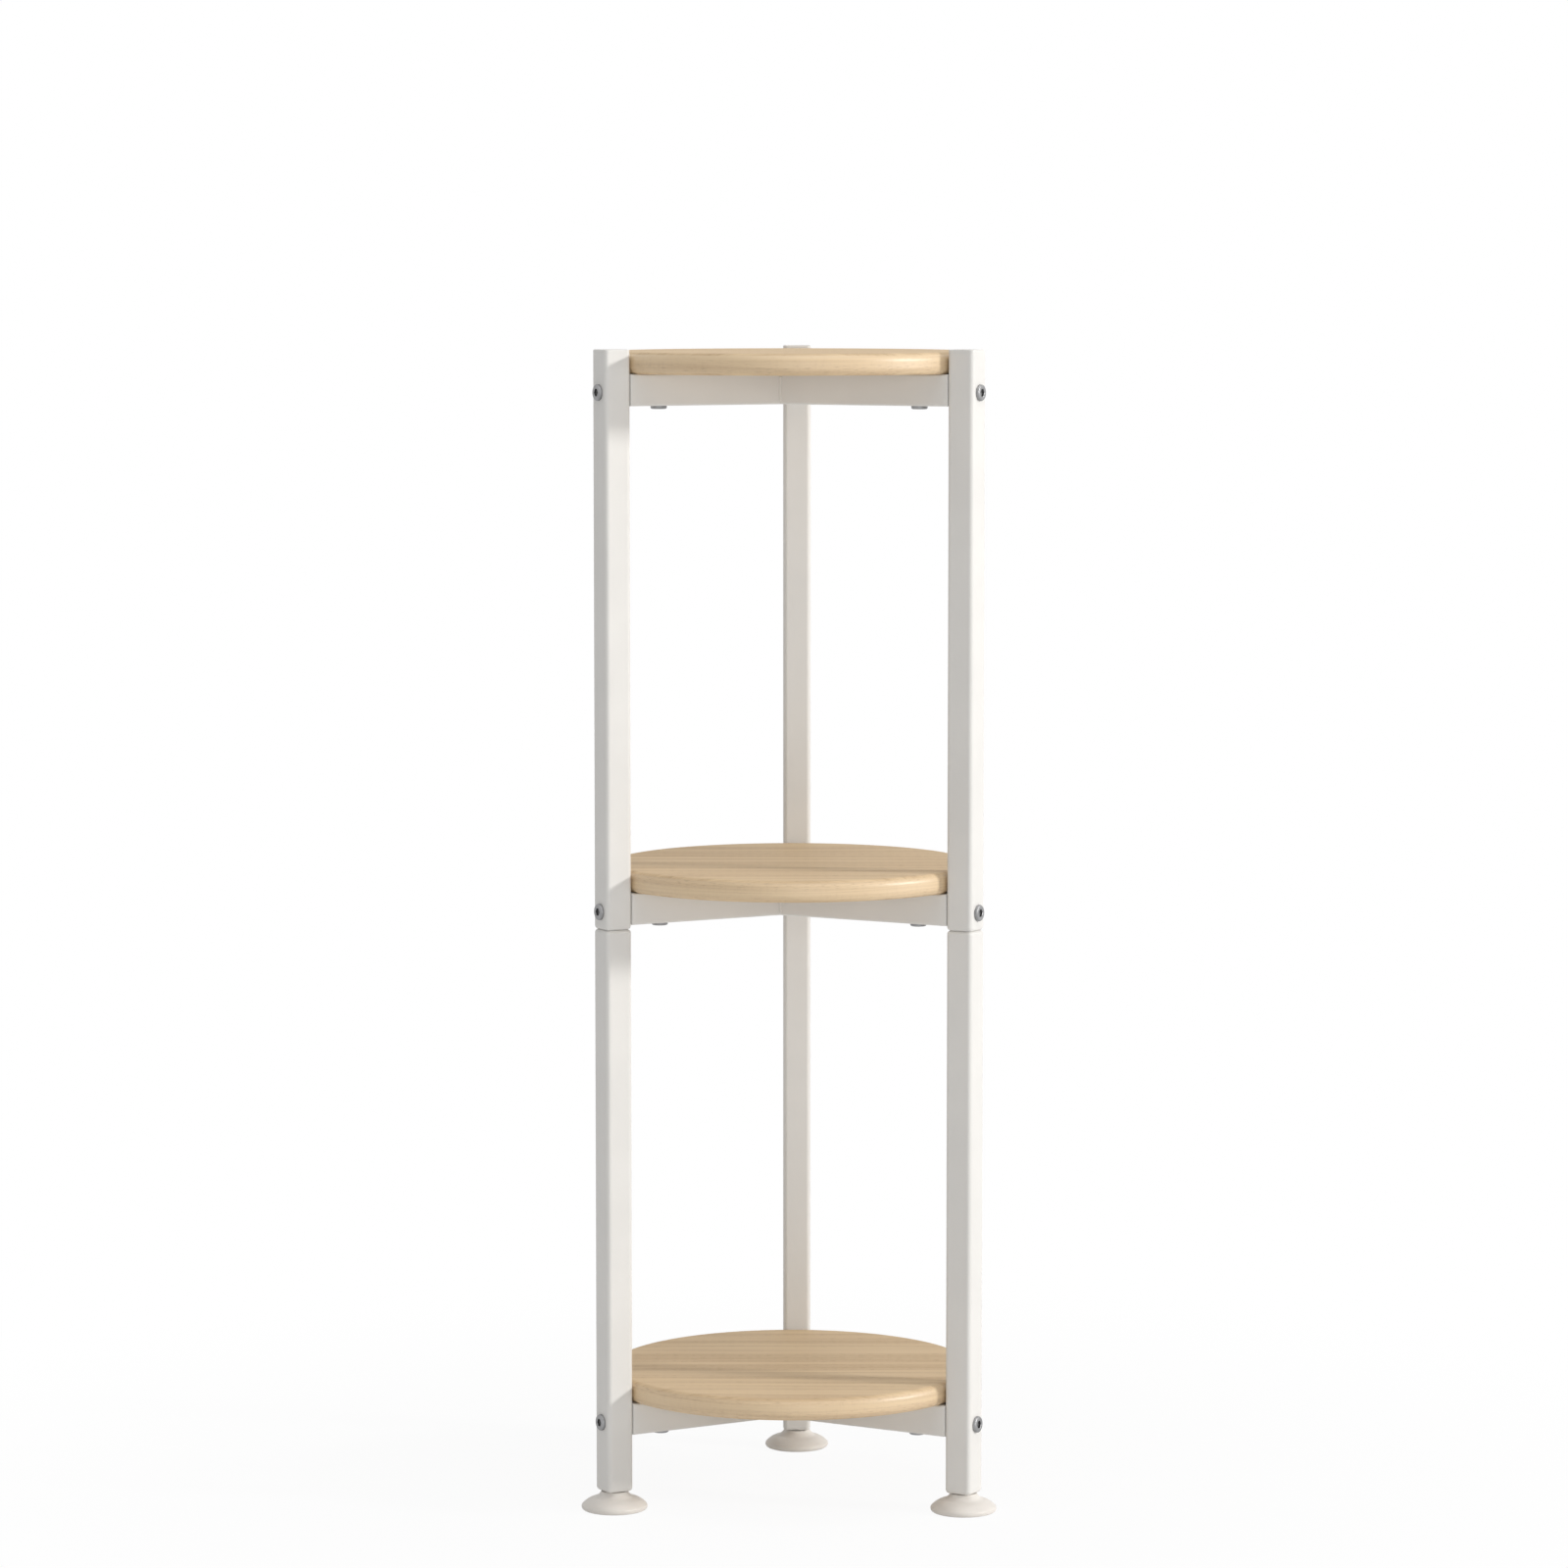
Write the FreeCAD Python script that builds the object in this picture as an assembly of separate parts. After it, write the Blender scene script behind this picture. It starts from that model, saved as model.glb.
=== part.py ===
import FreeCAD, Part
import math
import os

# A free-standing plant stand with three round boards between three square posts.
# Each post is an upper and a lower tube, joined by a hidden sleeve and standing on a
# levelling foot. Each board lies on a frame of three arms, which are welded where they meet
# and bolted to the posts.
#
# Millimetres, +Z up, z = 0 is the floor. Every piece is built about the stand's upright
# axis. A post or an arm is first built as if its arm ran along +X, and is then turned to
# its own direction. Last, the whole stand moves so that x = y = 0 is the middle of its
# outline on the floor.

V = FreeCAD.Vector
Z_AXIS = V(0, 0, 1)

# The stand as a whole
BOARD_RADIUS = 130.0
BOARD_GAP = 1.0  # between a board's edge and the face of a post
TIER_PITCH = 359.0  # from one tier to the next
FIRST_BOLT = 62.5  # floor to the bottom tier's post bolts
POST_END = 13.2  # floor to the lower end of a post
POST_ABOVE_BOARD = 2.0  # post top above the top board
JOINT_BELOW_ARM = 3.0  # joint of the two post tubes below the middle tier's arms
DIRECTIONS = {"left": 210.0, "right": 330.0, "rear": 90.0}  # arm directions, in degrees

# Post tubes
POST = 20.0  # outside, square
POST_WALL = 1.2
POST_CORNER = 3.1  # outside radius of the long edges
POST_TOP_ROUND = 1.0
POST_JOINT_ROUND = 2.5  # the tube ends at the joint are drawn in to this radius
POST_FOOT_ROUND = 2.8  # so is the end over the foot

# Sleeve inside the post joint, and the square mouths that it and the foot insert fill
LIP = 0.3  # flat rim round a mouth
SLEEVE_WALL = 1.5
SLEEVE_CORNER = 1.8
SLEEVE_DOWN = 40.0  # length below the joint
SLEEVE_UP = 30.0  # length above the joint
SLIP = 0.1  # clearance on each side of a piece that slides into a tube

# Cap in the top of a post
CAP_TOP = 2.5
CAP_DEPTH = 12.0
CAP_WALL = 1.8

# Arms
ARM_WIDTH = 20.0
ARM_HEIGHT = 22.0
ARM_WALL = 1.2
ARM_CORNER = 1.5
ARM_LAP = 2.3  # how far each arm's inner end laps the side of the next arm
BOLT_BELOW_MIDDLE = 1.5  # post bolts below the arm's mid-height
PLATE = 2.5  # thickness of the plate that closes an arm's outer end
PLATE_ROUND = 0.4

# Bolts, with a low head and a hexagon socket, and their nuts
BOLT = 6.0
HOLE_FIT = 0.3  # radial clearance of a bolt in a drilled wall
THREAD_FIT = 0.05  # radial clearance of a plain shank in its nut or insert
HEAD_DIAMETER = 11.4
HEAD_HEIGHT = 2.3
HEAD_ROUND = 1.1
SOCKET = 5.0  # across the flats
SOCKET_DEPTH = 2.0
NUT = 10.0  # across the flats
NUT_HEIGHT = 5.0
BOLT_END = 2.0  # shank past the nut

# Boards
BOARD_THICKNESS = 15.0
BOARD_TOP_ROUND = 5.5
BOARD_LOW_ROUND = 5.0
BOARD_BOLT_INSET = 26.0  # board bolts inside the board's edge, measured along the arm
INSERT = 10.0  # diameter of the threaded insert in the board
INSERT_LENGTH = 10.0
INSERT_FIT = 0.05
POCKET_EXTRA = 1.0  # pocket in the board past the insert
BOARD_BOLT_GRIP = 8.5  # shank inside the insert

# Levelling feet
STUD = 8.0
STUD_FLOOR = 4.5  # floor to the stud's lower end, inside the pad
STUD_GRIP = 13.0  # stud still inside the insert when the foot is screwed right out
STUD_SPARE = 3.0  # insert past the stud when the foot is screwed right in
FOOT_TRAVEL = 10.0  # how far the foot screws out
FOOT_GAP = 0.3  # between pad and post when screwed right in
RUN_FIT = 0.05  # radial clearance of the stud in pad and insert
BORE_END_GAP = 0.3
COLLAR_HEIGHT = 4.0  # collar of the insert, above the lip
PAD_RADIUS = 23.1
PAD_RIM = 2.2  # height of the pad's widest point
PAD_RIM_TOP = 4.1  # height at which the rim meets the dome
PAD_RIM_INSET = 0.9  # rim's top edge inside the widest point
PAD_SOLE_INSET = 1.8  # sole's edge inside the widest point
PAD_DOME_RISE = 0.7  # the dome's curve above a straight slope
PAD_NECK = 9.3  # radius of the neck's top
PAD_NECK_FLARE = 4.7  # how far the neck widens on its way down
PAD_NECK_HEIGHT = 4.3
PAD_NECK_HOLLOW = 0.6  # the neck's curve inside a straight slope

# Small shapes that several pieces share
INNER_CORNER = 0.9  # inside radius of the sleeve's and the cap's edges
TIP_CHAMFER = 0.1  # chamfer of a shank's tip, as a share of its diameter

# Smallest fillet and smallest length that count
LEAST_FILLET = 0.2
TOLERANCE = 1e-4

# Worked out from the sizes above
COS30 = math.cos(math.radians(30))
ARM_OFFSET = (ARM_WIDTH / 2 + ARM_LAP * COS30) / 3  # each arm runs this far off the radial line
POST_FACE = BOARD_RADIUS + BOARD_GAP  # stand axis to the face of a post, along the arm
POST_RADIUS = POST_FACE + POST / 2
POST_BORE = POST - 2 * POST_WALL
MOUTH = POST - 2 * (POST_FOOT_ROUND + LIP)
SLEEVE = MOUTH - 2 * SLIP
BOLT_HOLE = BOLT + 2 * HOLE_FIT
BOARD_BOLT_RADIUS = BOARD_RADIUS - BOARD_BOLT_INSET
STUD_TOP = POST_END + FOOT_TRAVEL + STUD_GRIP
FOOT_INSERT_TOP = STUD_TOP + STUD_SPARE
TIERS = {
    "bottom": FIRST_BOLT,
    "middle": FIRST_BOLT + TIER_PITCH,
    "top": FIRST_BOLT + 2 * TIER_PITCH,
}


def arm_bottom(bolt_height):
    return bolt_height + BOLT_BELOW_MIDDLE - ARM_HEIGHT / 2


def board_bottom(bolt_height):
    return arm_bottom(bolt_height) + ARM_HEIGHT


POST_JOINT = arm_bottom(TIERS["middle"]) - JOINT_BELOW_ARM
POST_TOP = board_bottom(TIERS["top"]) + BOARD_THICKNESS + POST_ABOVE_BOARD


def leg_centre(direction):
    """Centre of the post and foot that stand at the end of the arm in this direction."""
    turn = math.radians(direction)
    x = POST_RADIUS * math.cos(turn) + ARM_OFFSET * math.sin(turn)
    y = POST_RADIUS * math.sin(turn) - ARM_OFFSET * math.cos(turn)
    return V(x, y, 0)


def outline_middle():
    """Middle of the stand's outline on the floor, from its feet and its boards."""
    centres = [leg_centre(direction) for direction in DIRECTIONS.values()]
    reach = [-BOARD_RADIUS, BOARD_RADIUS]
    xs = reach + [c.x + side * PAD_RADIUS for c in centres for side in (-1, 1)]
    ys = reach + [c.y + side * PAD_RADIUS for c in centres for side in (-1, 1)]
    return V((min(xs) + max(xs)) / 2, (min(ys) + max(ys)) / 2, 0)


ORIGIN_SHIFT = outline_middle().negative()


# Shapes that several pieces use


def fillet_edges(shape, radius, wanted):
    edges = [edge for edge in shape.Edges if wanted(edge)]
    return shape.makeFillet(radius, edges)


def upright(edge):
    box = edge.BoundBox
    return max(box.XLength, box.YLength) < TOLERANCE < box.ZLength


def at_height(z):
    def wanted(edge):
        box = edge.BoundBox
        return abs(box.ZMin - z) < TOLERANCE and abs(box.ZMax - z) < TOLERANCE

    return wanted


def bar(width, depth, low, high, corner):
    """Upright bar about the Z axis, from height low to height high, its long edges rounded."""
    box = Part.makeBox(width, depth, high - low, V(-width / 2, -depth / 2, low))
    return fillet_edges(box, corner, upright)


def rim_rounded(shape, z, radius):
    return fillet_edges(shape, radius, at_height(z))


def rod(diameter, low, high):
    return Part.makeCylinder(diameter / 2, high - low, V(0, 0, low), Z_AXIS)


def tip_chamfered(shank, tip, diameter):
    edges = [edge for edge in shank.Edges if at_height(tip)(edge)]
    return shank.makeChamfer(TIP_CHAMFER * diameter, edges)


def hexagon(across_flats, low, high):
    corner = across_flats / 2 / COS30
    turns = [math.radians(60 * step) for step in range(7)]
    points = [V(corner * math.cos(turn), corner * math.sin(turn), low) for turn in turns]
    return Part.Face(Part.makePolygon(points)).extrude(V(0, 0, high - low))


def along_arm(shape, x, z):
    """Lays an upright shape down, so that its +Z points inwards along the arm, from x."""
    shape.rotate(V(0, 0, 0), V(0, 1, 0), -90)
    shape.translate(V(x, -ARM_OFFSET, z))
    return shape


def arm_hole(diameter, z, start, end):
    """A round hole along the arm, from x = start inwards to x = end."""
    return along_arm(rod(diameter, 0, start - end), start, z)


def to_post(shape):
    return shape.translated(V(POST_RADIUS, -ARM_OFFSET, 0))


def turned(shape, direction):
    """Turns a piece from the +X arm to its own direction and moves it to the stand's origin."""
    shape = shape.copy()
    shape.rotate(V(0, 0, 0), Z_AXIS, direction)
    shape.translate(ORIGIN_SHIFT)
    return shape


def ring_of(shape):
    """The same piece at each of the three arms."""
    return [turned(shape, direction) for direction in DIRECTIONS.values()]


def save(name, solids):
    shape = solids[0] if len(solids) == 1 else Part.makeCompound(solids)
    shape.exportStep("parts/" + name + ".step")


# Posts


def post_tube(low, high, low_round, high_round, open_top):
    """A square tube with rounded corners. The inner wall follows the drawn-in ends."""
    outside = bar(POST, POST, low, high, POST_CORNER)
    outside = rim_rounded(outside, low, low_round)
    outside = rim_rounded(outside, high, high_round)
    bore_high = high + POST_WALL if open_top else high - POST_WALL
    inside = bar(POST_BORE, POST_BORE, low + POST_WALL, bore_high, POST_CORNER - POST_WALL)
    inside = rim_rounded(inside, low + POST_WALL, low_round - POST_WALL)
    if not open_top:
        inside = rim_rounded(inside, high - POST_WALL, high_round - POST_WALL)
    mouth = bar(MOUTH, MOUTH, low - POST_WALL, high + POST_WALL, SLEEVE_CORNER + SLIP)
    return outside.cut(inside).cut(mouth)


def bolted(post, tiers):
    """Drills a post piece, already at the end of its arm, for the bolts of these tiers."""
    for tier in tiers:
        hole = arm_hole(BOLT_HOLE, TIERS[tier], POST_RADIUS + POST, POST_RADIUS - POST)
        post = post.cut(hole)
    return post


def upper_post():
    tube = post_tube(POST_JOINT, POST_TOP, POST_JOINT_ROUND, POST_TOP_ROUND, open_top=True)
    return bolted(to_post(tube), ["middle", "top"])


def lower_post():
    tube = post_tube(POST_END, POST_JOINT, POST_FOOT_ROUND, POST_JOINT_ROUND, open_top=False)
    return bolted(to_post(tube), ["bottom"])


def post_sleeve():
    low, high = POST_JOINT - SLEEVE_DOWN, POST_JOINT + SLEEVE_UP
    bore = SLEEVE - 2 * SLEEVE_WALL
    sleeve = bar(SLEEVE, SLEEVE, low, high, SLEEVE_CORNER)
    sleeve = sleeve.cut(bar(bore, bore, low, high, INNER_CORNER))
    return bolted(to_post(sleeve), ["middle"])


def top_cap():
    """Cup-shaped plug, flush with the post's open top."""
    size = POST_BORE - 2 * SLIP
    low = POST_TOP - CAP_DEPTH
    hollow = size - 2 * CAP_WALL
    cap = bar(size, size, low, POST_TOP, POST_CORNER - POST_WALL - SLIP)
    return to_post(cap.cut(bar(hollow, hollow, low, POST_TOP - CAP_TOP, INNER_CORNER)))


# Feet


def foot_insert():
    """Plug in the post's lower mouth, held by a collar above the lip, threaded for the stud."""
    body = bar(SLEEVE, SLEEVE, POST_END, FOOT_INSERT_TOP, SLEEVE_CORNER)
    width = MOUTH + 2 * LIP
    collar_low = POST_END + POST_WALL + SLIP
    collar = bar(width, width, collar_low, collar_low + COLLAR_HEIGHT, SLEEVE_CORNER)
    bore = rod(STUD + 2 * RUN_FIT, POST_END, FOOT_INSERT_TOP)
    return to_post(body.fuse(collar).removeSplitter().cut(bore))


def foot_stud():
    return to_post(tip_chamfered(rod(STUD, STUD_FLOOR, STUD_TOP), STUD_TOP, STUD))


def bulged(start, end, rise):
    """Arc from start to end in the XZ plane, its middle above the chord by rise."""
    chord = end - start
    middle = (start + end) / 2
    away = V(chord.z, 0, -chord.x).normalize()
    return Part.Arc(start, middle + away * rise, end).toShape()


def foot_pad():
    """Round pad turned from its outline: a flat sole, a rounded rim, a low dome and a neck."""
    neck_top = POST_END - FOOT_GAP
    bore = STUD / 2 + RUN_FIT
    bore_end = STUD_FLOOR - BORE_END_GAP
    centre = V(0, 0, 0)
    sole_edge = V(PAD_RADIUS - PAD_SOLE_INSET, 0, 0)
    rim = V(PAD_RADIUS, 0, PAD_RIM)
    rim_top = V(PAD_RADIUS - PAD_RIM_INSET, 0, PAD_RIM_TOP)
    shoulder = V(PAD_NECK + PAD_NECK_FLARE, 0, neck_top - PAD_NECK_HEIGHT)
    neck = V(PAD_NECK, 0, neck_top)
    bore_corners = [neck, V(bore, 0, neck_top), V(bore, 0, bore_end), V(0, 0, bore_end), centre]
    outline = [
        Part.makeLine(centre, sole_edge),
        Part.Arc(sole_edge, rim, rim_top).toShape(),
        bulged(rim_top, shoulder, PAD_DOME_RISE),
        bulged(shoulder, neck, -PAD_NECK_HOLLOW),
    ]
    outline += [Part.makeLine(a, b) for a, b in zip(bore_corners, bore_corners[1:])]
    return to_post(Part.Face(Part.Wire(outline)).revolve(centre, Z_AXIS, 360))


# Arms and their fastenings


def arm_prism(start, end, bottom, inset):
    """Bar along the arm, from x = start to x = end, inset on its four sides."""
    width = ARM_WIDTH - 2 * inset
    height = ARM_HEIGHT - 2 * inset
    box = Part.makeBox(end - start, width, height, V(start, -ARM_OFFSET - width / 2, bottom + inset))
    corner = max(ARM_CORNER - inset, LEAST_FILLET)
    return fillet_edges(box, corner, lambda edge: edge.BoundBox.XLength > (end - start) / 2)


def beside_next_arm(bottom):
    """The space past the side of the arm that this arm's inner end is cut to fit."""
    reach = 2 * POST_RADIUS
    block = Part.makeBox(reach, reach, 3 * ARM_HEIGHT, V(-reach / 2, 0, bottom - ARM_HEIGHT))
    block.translate(V(0, ARM_WIDTH / 2 - ARM_OFFSET, 0))
    block.rotate(V(0, 0, 0), Z_AXIS, -120)
    return block


def arm(bolt_height):
    """One tube of a tier's frame, its inner end cut at an angle to lie on the next arm."""
    bottom = arm_bottom(bolt_height)
    end = POST_FACE - PLATE
    tube = arm_prism(-ARM_WIDTH, end, bottom, 0).cut(arm_prism(-ARM_WIDTH, end, bottom, ARM_WALL))
    tube = tube.common(beside_next_arm(bottom))
    hole = rod(BOLT_HOLE, bottom, bottom + ARM_HEIGHT)
    hole.translate(V(BOARD_BOLT_RADIUS, -ARM_OFFSET, 0))
    return tube.cut(hole)


def end_plate(bolt_height):
    """Plate that closes an arm's outer end, its edges rounded where they meet the post."""
    plate = arm_prism(POST_FACE - PLATE, POST_FACE, arm_bottom(bolt_height), 0)
    plate = fillet_edges(plate, PLATE_ROUND, lambda edge: edge.BoundBox.XMin > POST_FACE - TOLERANCE)
    return plate.cut(arm_hole(BOLT_HOLE, bolt_height, POST_FACE, POST_FACE - PLATE))


def arm_nut(bolt_height):
    nut = hexagon(NUT, 0, NUT_HEIGHT).cut(rod(BOLT + 2 * THREAD_FIT, 0, NUT_HEIGHT))
    return along_arm(nut, POST_FACE - PLATE, bolt_height)


def bolt(shank_length):
    """Low-headed bolt about the Z axis: the head is below z = 0 and the shank above it."""
    head = rim_rounded(rod(HEAD_DIAMETER, -HEAD_HEIGHT, 0), -HEAD_HEIGHT, HEAD_ROUND)
    shank = tip_chamfered(rod(BOLT, 0, shank_length), shank_length, BOLT)
    socket = hexagon(SOCKET, -HEAD_HEIGHT, SOCKET_DEPTH - HEAD_HEIGHT)
    return head.fuse(shank).removeSplitter().cut(socket)


def post_bolt(bolt_height):
    shank = POST + PLATE + NUT_HEIGHT + BOLT_END
    return along_arm(bolt(shank), POST_RADIUS + POST / 2, bolt_height)


def board_bolt(bolt_height):
    shank = ARM_HEIGHT + BOARD_BOLT_GRIP
    return bolt(shank).translated(V(BOARD_BOLT_RADIUS, -ARM_OFFSET, arm_bottom(bolt_height)))


# Boards


def board_insert(bolt_height):
    low = board_bottom(bolt_height)
    insert = rod(INSERT, low, low + INSERT_LENGTH)
    insert = insert.cut(rod(BOLT + 2 * THREAD_FIT, low, low + INSERT_LENGTH))
    return insert.translated(V(BOARD_BOLT_RADIUS, -ARM_OFFSET, 0))


def board(bolt_height):
    """Round board with rounded edges and a pocket for each insert in its underside."""
    low = board_bottom(bolt_height)
    high = low + BOARD_THICKNESS
    disc = rod(2 * BOARD_RADIUS, low, high)
    disc = rim_rounded(disc, high, BOARD_TOP_ROUND)
    disc = rim_rounded(disc, low, BOARD_LOW_ROUND)
    disc.translate(ORIGIN_SHIFT)
    pocket = rod(INSERT + 2 * INSERT_FIT, low, low + INSERT_LENGTH + POCKET_EXTRA)
    pocket.translate(V(BOARD_BOLT_RADIUS, -ARM_OFFSET, 0))
    for hole in ring_of(pocket):
        disc = disc.cut(hole)
    return disc


LEG_PIECES = {
    "upper_post": upper_post,
    "lower_post": lower_post,
    "post_sleeve": post_sleeve,
    "top_cap": top_cap,
    "foot_insert": foot_insert,
    "foot_stud": foot_stud,
    "foot_pad": foot_pad,
}
RINGS = {
    "arm_end_plates": end_plate,
    "arm_nuts": arm_nut,
    "post_bolts": post_bolt,
    "board_bolts": board_bolt,
    "board_inserts": board_insert,
}

os.makedirs("parts", exist_ok=True)

for piece, make in LEG_PIECES.items():
    shape = make()
    for side, direction in DIRECTIONS.items():
        save(side + "_" + piece, [turned(shape, direction)])

for tier, bolt_height in TIERS.items():
    save(tier + "_board", [board(bolt_height)])
    tube = arm(bolt_height)
    for side, direction in DIRECTIONS.items():
        save(tier + "_" + side + "_arm", [turned(tube, direction)])
    for piece, make in RINGS.items():
        save(tier + "_" + piece, ring_of(make(bolt_height)))
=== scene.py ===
"""Looks of a tiered plant stand: white steel posts and arms, round oak boards, levelling feet."""

import math

import bmesh
import bpy
from bpy.props import FloatProperty, FloatVectorProperty, PointerProperty
from bpy.types import Operator, Panel, PropertyGroup
from mathutils import Matrix, Vector


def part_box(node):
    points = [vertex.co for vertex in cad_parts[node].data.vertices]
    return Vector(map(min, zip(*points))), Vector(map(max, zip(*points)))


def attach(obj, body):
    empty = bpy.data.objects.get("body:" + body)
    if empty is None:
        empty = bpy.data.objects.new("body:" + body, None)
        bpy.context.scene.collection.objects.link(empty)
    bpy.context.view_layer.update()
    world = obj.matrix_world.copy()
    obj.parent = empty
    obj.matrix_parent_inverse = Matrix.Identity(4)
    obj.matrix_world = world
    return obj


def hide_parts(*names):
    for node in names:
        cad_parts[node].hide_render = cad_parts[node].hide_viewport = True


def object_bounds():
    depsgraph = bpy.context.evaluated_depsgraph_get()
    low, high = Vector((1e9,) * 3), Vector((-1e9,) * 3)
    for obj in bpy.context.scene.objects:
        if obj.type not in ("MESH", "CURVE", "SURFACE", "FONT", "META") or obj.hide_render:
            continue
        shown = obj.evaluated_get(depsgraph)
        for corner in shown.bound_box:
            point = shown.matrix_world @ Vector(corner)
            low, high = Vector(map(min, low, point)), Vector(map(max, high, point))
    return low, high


bl_info = {
    "name": "Tiered Plant Stand",
    "version": (1, 0, 0),
    "blender": (4, 5, 0),
    "location": "View3D > Sidebar > Plant Stand",
    "description": "Finishes and fine pieces of a plant stand with three round boards",
    "category": "Object",
}

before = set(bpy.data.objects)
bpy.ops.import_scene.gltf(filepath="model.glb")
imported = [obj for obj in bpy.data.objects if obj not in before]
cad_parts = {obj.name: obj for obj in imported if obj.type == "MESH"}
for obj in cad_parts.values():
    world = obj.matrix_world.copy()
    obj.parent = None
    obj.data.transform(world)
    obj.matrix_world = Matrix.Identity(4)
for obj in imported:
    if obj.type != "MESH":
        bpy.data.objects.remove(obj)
CAD_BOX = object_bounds()

TIERS = ("bottom", "middle", "top")
# How far each leg is turned about the stand's axis from the rear one, in degrees
LEG_TURNS = {"rear": 0.0, "left": 120.0, "right": 240.0}
MM = 0.001
SETTINGS_PREFIX = "plant_stand_"


# Where things are, read from the frame


def middle(node):
    low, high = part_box(node)
    return (low + high) / 2


def stand_axis():
    """The stand's upright axis, on the floor: the middle of its boards."""
    centre = middle("bottom_board")
    return Vector((centre.x, centre.y, 0.0))


def rear_part(node):
    """Lowest and highest corner of the rear one of a node's three equal parts."""
    behind = stand_axis().y
    points = [v.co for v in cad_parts[node].data.vertices if v.co.y > behind]
    low = Vector(min(p[i] for p in points) for i in range(3))
    high = Vector(max(p[i] for p in points) for i in range(3))
    return low, high


def turn_from_rear(degrees):
    """Matrix that turns a piece of the rear leg about the stand's axis to another leg."""
    axis = stand_axis()
    turn = Matrix.Rotation(math.radians(degrees), 4, "Z")
    return Matrix.Translation(axis) @ turn @ Matrix.Translation(-axis)


# Shader nodes


class Signal:
    """A node's output. Arithmetic between values adds the Math nodes that do it."""

    def __init__(self, nodes, socket):
        self.nodes = nodes
        self.socket = socket

    def math(self, operation, first, second=0.0):
        return self.nodes.node("Math", {"operation": operation}, {0: first, 1: second})

    def __add__(self, other):
        return self.math("ADD", self, other)

    def __radd__(self, other):
        return self.math("ADD", other, self)

    def __sub__(self, other):
        return self.math("SUBTRACT", self, other)

    def __rsub__(self, other):
        return self.math("SUBTRACT", other, self)

    def __mul__(self, other):
        return self.math("MULTIPLY", self, other)

    def __rmul__(self, other):
        return self.math("MULTIPLY", other, self)

    def __abs__(self):
        return self.math("ABSOLUTE", self)

    def ramp(self, start, end):
        """0 below start, 1 above end, and a smooth step between."""
        inputs = {"Value": self, "From Min": start, "From Max": end}
        return self.nodes.node("MapRange", {"interpolation_type": "SMOOTHSTEP"}, inputs)

    def swing(self, width):
        """A swing of that width about 0, from a value that lies about 0.5."""
        return width * (self - 0.5)


class Nodes:
    """A node tree that nodes are added to."""

    def __init__(self, tree):
        self.tree = tree

    def node(self, kind, settings=None, inputs=None, output=None):
        """Adds a node: first its settings, then the values or links of its sockets."""
        node = self.tree.nodes.new("ShaderNode" + kind)
        for name, value in (settings or {}).items():
            setattr(node, name, value)
        for key, value in (inputs or {}).items():
            self.feed(self.find(node.inputs, key), value)
        enabled = [socket for socket in node.outputs if socket.enabled]
        return Signal(self, enabled[0] if output is None else node.outputs[output])

    @staticmethod
    def find(sockets, key):
        """A socket by its number, its identifier or its name."""
        if isinstance(key, int):
            return sockets[key]
        named = [s for s in sockets if s.identifier == key]
        return named[0] if named else sockets[key]

    def feed(self, socket, value):
        if isinstance(value, Signal):
            self.tree.links.new(value.socket, socket)
        else:
            socket.default_value = value

    def plain_where_seen(self):
        """1 for rays that are to meet plain white: from the camera, off gloss, through glass."""
        seen = 0.0
        for kind in ("Camera", "Glossy", "Transmission"):
            ray = self.node("LightPath", output=f"Is {kind} Ray")
            seen = self.node("Math", {"operation": "MAXIMUM"}, {0: seen, 1: ray})
        return seen


class Finish(Nodes):
    """A material and the nodes that make it."""

    def __init__(self, name):
        self.material = bpy.data.materials.new(name)
        self.material.use_nodes = True
        super().__init__(self.material.node_tree)
        self.shader = self.tree.nodes["Principled BSDF"]

    def set(self, **inputs):
        """Sets or links the shader's own sockets, named with _ for a space."""
        sockets = {s.name.lower().replace(" ", "_"): s for s in self.shader.inputs}
        for name, value in inputs.items():
            self.feed(sockets[name], value)

    def place(self, scale=(1.0, 1.0, 1.0), offset=(0.0, 0.0, 0.0)):
        """The piece's own coordinates in metres, moved by offset and then scaled."""
        place = self.node("TexCoord", output="Object")
        place = self.node("VectorMath", {"operation": "ADD"}, {0: place, 1: offset})
        return self.node("VectorMath", {"operation": "MULTIPLY"}, {0: place, 1: scale})

    def noise(self, place, scale=1.0, detail=2.0, roughness=0.5):
        inputs = {"Vector": place, "Scale": scale, "Detail": detail, "Roughness": roughness}
        return self.node("TexNoise", inputs=inputs)

    def blend(self, amount, first, second):
        """Mixes two colours: amount 0 gives the first."""
        inputs = {"Factor_Float": amount, "A_Color": first, "B_Color": second}
        return self.node("Mix", {"data_type": "RGBA"}, inputs)

    def bump(self, height, distance):
        self.set(normal=self.node("Bump", inputs={"Height": height, "Distance": distance}))


def rgba(colour):
    return (*colour, 1.0)


def darker(colour, share):
    return tuple(share * channel for channel in colour)


def between(first, second, share):
    """A value that goes from first to second as share goes from 0 to 1."""
    return first + share * (second - first)


# Mesh building


def turns(count):
    """The angles of evenly spread points round a full turn."""
    return [math.tau * step / count for step in range(count)]


def around(reaches, height):
    """Points round the Z axis at one height, each as far out as its reach."""
    return [
        Vector((reach * math.cos(turn), reach * math.sin(turn), height))
        for reach, turn in zip(reaches, turns(len(reaches)))
    ]


def ring(radius, height, count):
    return around([radius] * count, height)


def hexagon(apothem, height, count):
    """Points round a hexagon. Its corners are points if count is a multiple of 6."""
    off_middle = [(turn % (math.tau / 6)) - math.tau / 12 for turn in turns(count)]
    return around([apothem / math.cos(angle) for angle in off_middle], height)


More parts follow.
